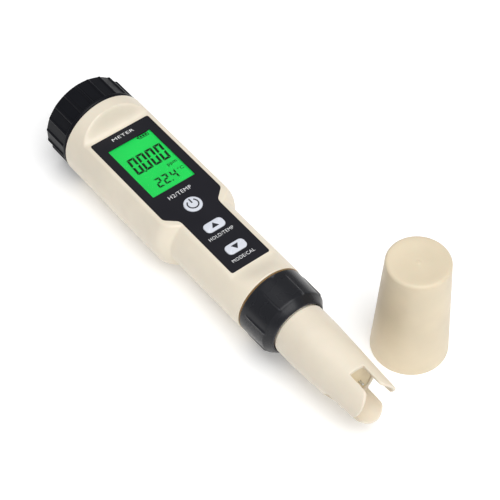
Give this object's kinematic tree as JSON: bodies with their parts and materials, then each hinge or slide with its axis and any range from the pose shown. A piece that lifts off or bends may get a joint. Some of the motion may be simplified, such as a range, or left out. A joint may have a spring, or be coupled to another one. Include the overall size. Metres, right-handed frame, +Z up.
{
  "type": "pen-style water tester",
  "caption": "Pen-shaped water tester with a flat label face, backlit display, press keys, screw battery cap, screw-on slotted probe and a tapered storage cap that stands beside it.",
  "frame": {"origin": "on the surface the object lies on, under the middle of the box that holds the pen and the storage cap", "axes": "+Z up out of the label face; +Y along the pen from the probe tip to the battery cap; +X towards the storage cap"},
  "size_m": [0.0758, 0.1934, 0.0523],
  "materials": {
    "cream_plastic": "fine matt moulding texture",
    "black_plastic": "satin",
    "label_film": "satin printed film",
    "clear_lens": "clear and polished",
    "display_glass": "backlit glass",
    "white_plastic": "smooth",
    "circuit_laminate": "solder resist",
    "chip_epoxy": "matt",
    "steel": "brushed",
    "gold_plate": "bright",
    "grey_key": "satin",
    "amber_rubber": "translucent, smooth",
    "black_rubber": "matt",
    "pale_rubber": "matt",
    "sensor_resin": "cast resin",
    "foam": "open cell sponge",
    "red_wire": "smooth",
    "flat_lead": "smooth"
  },
  "bodies": {
    "pen": {"housing": "cream_plastic", "overlay_label": "label_film", "display_window": "clear_lens", "lcd_panel": "display_glass", "display_frame": "white_plastic", "backlight": "white_plastic", "contact_strips": "black_rubber", "circuit_board": "circuit_laminate", "board_screws": "steel", "tact_switches": "chip_epoxy", "microcontroller": "chip_epoxy", "chip_parts": "chip_epoxy", "battery_holder": "black_plastic", "cell_1": "steel", "cell_2": "steel", "cell_3": "steel", "cell_4": "steel", "front_contact": "gold_plate", "battery_leads": "red_wire", "collar_gasket": "amber_rubber", "probe_socket": "black_plastic", "sensor_cable": "flat_lead"},
    "power_button": {"power_key": "grey_key"},
    "up_button": {"up_key": "grey_key"},
    "down_button": {"down_key": "grey_key"},
    "cap_gasket": {"battery_cap_gasket": "black_rubber"},
    "screw_cap": {"battery_cap": "black_plastic", "cap_contact_plate": "steel", "cap_contact_spring": "steel"},
    "probe_unit": {"probe_guard": "cream_plastic", "sensor_plug": "sensor_resin", "sensor_pins": "steel", "temperature_sensor": "steel", "sensor_leads": "red_wire", "probe_seal": "black_rubber", "probe_plug": "black_plastic", "plug_pins": "gold_plate"},
    "collar": {"probe_collar": "black_plastic"},
    "storage_cover": {"storage_cap": "cream_plastic", "storage_cap_seal": "pale_rubber", "storage_sponge": "foam"}
  },
  "joints": [
    {"name": "power_press", "type": "slide", "parent": "pen", "child": "power_button", "axis": [0, 0, -1], "range_m": [0, 0.0004], "stiffness_N_per_m": 1500, "springref_m": -0.0006},
    {"name": "up_press", "type": "slide", "parent": "pen", "child": "up_button", "axis": [0, 0, -1], "range_m": [0, 0.0004], "stiffness_N_per_m": 1500, "springref_m": -0.0006},
    {"name": "down_press", "type": "slide", "parent": "pen", "child": "down_button", "axis": [0, 0, -1], "range_m": [0, 0.0004], "stiffness_N_per_m": 1500, "springref_m": -0.0006},
    {"name": "battery_cap_advance", "type": "slide", "parent": "pen", "child": "cap_gasket", "axis": [0, 1, 0], "range_m": [0, 0.008]},
    {"name": "battery_cap_screw", "type": "hinge", "parent": "cap_gasket", "child": "screw_cap", "pos_m": [-0.01777, 0.0893, 0.0199], "axis": [0, 1, 0], "range_deg": [0, 1441]},
    {"name": "probe_withdraw", "type": "slide", "parent": "pen", "child": "probe_unit", "axis": [0, -1, 0], "range_m": [0, 0.006]},
    {"name": "collar_screw", "type": "hinge", "parent": "probe_unit", "child": "collar", "pos_m": [-0.01777, -0.0417, 0.0199], "axis": [0, -1, 0], "range_deg": [0, 1081]},
    {"name": "storage_cap_lift", "type": "slide", "parent": "pen", "child": "storage_cover", "axis": [0, 0, 1], "range_m": [0, 0.1]}
  ],
  "couplings": [
    {"joint": "battery_cap_screw", "follows": "battery_cap_advance", "rad_per_m": 3141.6},
    {"joint": "collar_screw", "follows": "probe_withdraw", "rad_per_m": 3141.6}
  ]
}
